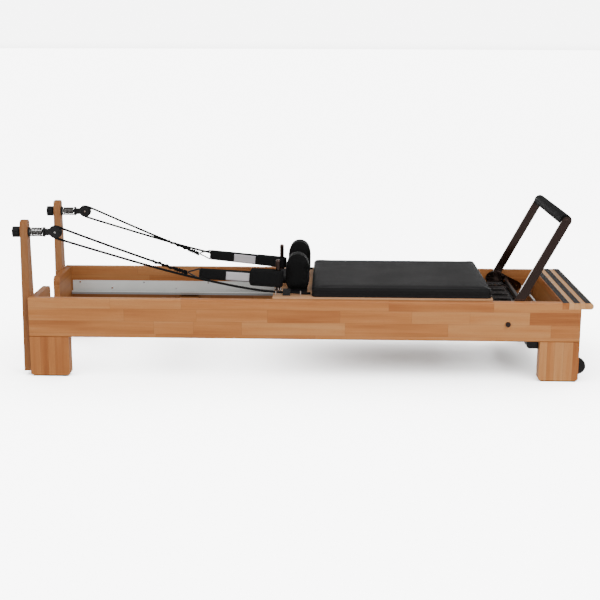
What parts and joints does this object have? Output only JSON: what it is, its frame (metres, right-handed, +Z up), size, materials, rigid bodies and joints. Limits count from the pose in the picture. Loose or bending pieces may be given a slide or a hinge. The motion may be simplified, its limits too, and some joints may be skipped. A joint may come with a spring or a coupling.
{
  "type": "pilates reformer",
  "caption": "Beech-framed exercise reformer: padded carriage sliding on tracks, folding padded footbar, shoulder rests, headrest, strap ropes over adjustable pulleys on upright posts.",
  "frame": {"origin": "middle of the footprint on the floor, under the whole machine", "axes": "+X from the rope posts towards the standing platform, +Z up, +Y to the left of someone facing +X"},
  "size_m": [2.462, 0.764, 0.7108],
  "materials": {
    "beech": "satin lacquered staves",
    "black_rubber": "matt",
    "grip_rubber": "ribbed matt",
    "aluminium": "extruded",
    "black_steel": "gloss powder coat",
    "chrome": "bright",
    "black_nickel": "dark bright plate",
    "spring_steel": "oiled",
    "vinyl": "satin upholstery",
    "webbing": "woven",
    "cord": "braided",
    "black_plastic": "moulded",
    "plywood": "sealed",
    "footbar_vinyl": "satin tube cover"
  },
  "bodies": {
    "frame": {"near_side_rail": "beech", "far_side_rail": "beech", "head_panel": "beech", "foot_panels": "beech", "standing_platform": "beech", "platform_grip_strips": "grip_rubber", "frame_legs": "beech", "leg_pads": "black_rubber", "near_rope_post": "beech", "far_rope_post": "beech", "near_track": "aluminium", "far_track": "aluminium", "track_screws": "chrome", "cross_braces": "beech", "rail_blocks": "beech", "spring_bar": "black_steel", "foot_cross_beam": "black_steel", "footbar_pivot_bolts": "chrome", "track_bumpers": "black_rubber", "wheel_brackets": "black_steel", "tension_springs": "spring_steel", "pulley_blocks": "black_steel", "pulley_pins": "chrome", "resistance_springs": "spring_steel", "near_rope": "cord", "far_rope": "cord"},
    "carriage": {"carriage_board": "plywood", "mattress": "vinyl", "carriage_bearers": "plywood", "roller_brackets": "black_steel", "spring_hook_bar": "black_steel", "strap_pegs": "black_nickel", "rope_cleats": "black_plastic", "near_strap": "webbing", "far_strap": "webbing"},
    "footbar": {"near_footbar_arm": "black_steel", "far_footbar_arm": "black_steel", "footbar_tube": "chrome", "footbar_pad": "footbar_vinyl", "footbar_fittings": "chrome", "footbar_lock_plates": "black_steel"},
    "footbar_latch": {"footbar_latch_rod": "chrome"},
    "headrest": {"headrest_board": "plywood", "headrest_pad": "vinyl"},
    "near_shoulder_rest": {"near_shoulder_pad": "vinyl", "near_shoulder_base": "black_steel"},
    "far_shoulder_rest": {"far_shoulder_pad": "vinyl", "far_shoulder_base": "black_steel"},
    "front_load_axle": {"front_load_wheels": "black_plastic"},
    "rear_load_axle": {"rear_load_wheels": "black_plastic"},
    "near_adjuster_knob_body": {"near_adjuster_knob": "black_plastic"},
    "far_adjuster_knob_body": {"far_adjuster_knob": "black_plastic"},
    "near_pulley_wheel_body": {"near_pulley_wheel": "black_plastic"},
    "far_pulley_wheel_body": {"far_pulley_wheel": "black_plastic"},
    "near_transport_wheel_body": {"near_transport_wheel": "black_rubber"},
    "far_transport_wheel_body": {"far_transport_wheel": "black_rubber"},
    "near_front_guide_roller_body": {"near_front_guide_roller": "black_plastic"},
    "far_front_guide_roller_body": {"far_front_guide_roller": "black_plastic"},
    "near_rear_guide_roller_body": {"near_rear_guide_roller": "black_plastic"},
    "far_rear_guide_roller_body": {"far_rear_guide_roller": "black_plastic"}
  },
  "joints": [
    {"name": "carriage_slide", "type": "slide", "parent": "frame", "child": "carriage", "axis": [-1, 0, 0], "range_m": [0, 0.85], "stiffness_N_per_m": 200, "springref_m": -0.1, "deforming": ["near_rope", "far_rope", "near_strap", "far_strap", "resistance_springs"]},
    {"name": "footbar_hinge", "type": "hinge", "parent": "frame", "child": "footbar", "pos_m": [0.8748, 0, 0.25], "axis": [0, 1, 0], "range_deg": [-38, 24]},
    {"name": "latch_slide", "type": "slide", "parent": "footbar", "child": "footbar_latch", "axis": [-0.6361, 0, 0.7716], "range_m": [0, 0.012]},
    {"name": "near_shoulder_rest_lift", "type": "slide", "parent": "carriage", "child": "near_shoulder_rest", "axis": [0, 0, 1], "range_m": [0, 0.05]},
    {"name": "far_shoulder_rest_lift", "type": "slide", "parent": "carriage", "child": "far_shoulder_rest", "axis": [0, 0, 1], "range_m": [0, 0.05]},
    {"name": "headrest_hinge", "type": "hinge", "parent": "carriage", "child": "headrest", "pos_m": [0.008, 0, 0.352], "axis": [0, 1, 0], "range_deg": [0, 45]},
    {"name": "front_load_wheels_turn", "type": "hinge", "parent": "carriage", "child": "front_load_axle", "pos_m": [-0.08, 0, 0.2415], "axis": [0, -1, 0], "continuous": true},
    {"name": "rear_load_wheels_turn", "type": "hinge", "parent": "carriage", "child": "rear_load_axle", "pos_m": [0.77, 0, 0.2415], "axis": [0, -1, 0], "continuous": true},
    {"name": "near_front_guide_roller_turn", "type": "hinge", "parent": "carriage", "child": "near_front_guide_roller_body", "pos_m": [-0.02, -0.3225, 0.254], "axis": [0, 0, 1], "continuous": true},
    {"name": "near_rear_guide_roller_turn", "type": "hinge", "parent": "carriage", "child": "near_rear_guide_roller_body", "pos_m": [0.712, -0.3225, 0.254], "axis": [0, 0, 1], "continuous": true},
    {"name": "near_pulley_turn", "type": "hinge", "parent": "frame", "child": "near_pulley_wheel_body", "pos_m": [-1.049, -0.306, 0.618], "axis": [0, 1, 0], "continuous": true},
    {"name": "near_adjuster_knob_turn", "type": "hinge", "parent": "frame", "child": "near_adjuster_knob_body", "pos_m": [-1.21, -0.306, 0.618], "axis": [1, 0, 0], "continuous": true},
    {"name": "near_transport_wheel_turn", "type": "hinge", "parent": "frame", "child": "near_transport_wheel_body", "pos_m": [1.1885, -0.3, 0.052], "axis": [0, 1, 0], "continuous": true},
    {"name": "far_front_guide_roller_turn", "type": "hinge", "parent": "carriage", "child": "far_front_guide_roller_body", "pos_m": [-0.02, 0.3225, 0.254], "axis": [0, 0, -1], "continuous": true},
    {"name": "far_rear_guide_roller_turn", "type": "hinge", "parent": "carriage", "child": "far_rear_guide_roller_body", "pos_m": [0.712, 0.3225, 0.254], "axis": [0, 0, -1], "continuous": true},
    {"name": "far_pulley_turn", "type": "hinge", "parent": "frame", "child": "far_pulley_wheel_body", "pos_m": [-1.049, 0.306, 0.618], "axis": [0, 1, 0], "continuous": true},
    {"name": "far_adjuster_knob_turn", "type": "hinge", "parent": "frame", "child": "far_adjuster_knob_body", "pos_m": [-1.21, 0.306, 0.618], "axis": [1, 0, 0], "continuous": true},
    {"name": "far_transport_wheel_turn", "type": "hinge", "parent": "frame", "child": "far_transport_wheel_body", "pos_m": [1.1885, 0.3, 0.052], "axis": [0, 1, 0], "continuous": true}
  ],
  "couplings": [
    {"joint": "front_load_wheels_turn", "follows": "carriage_slide", "rad_per_m": 45.455},
    {"joint": "rear_load_wheels_turn", "follows": "carriage_slide", "rad_per_m": 45.455},
    {"joint": "near_front_guide_roller_turn", "follows": "carriage_slide", "rad_per_m": 62.5},
    {"joint": "near_rear_guide_roller_turn", "follows": "carriage_slide", "rad_per_m": 62.5},
    {"joint": "far_front_guide_roller_turn", "follows": "carriage_slide", "rad_per_m": 62.5},
    {"joint": "far_rear_guide_roller_turn", "follows": "carriage_slide", "rad_per_m": 62.5}
  ]
}
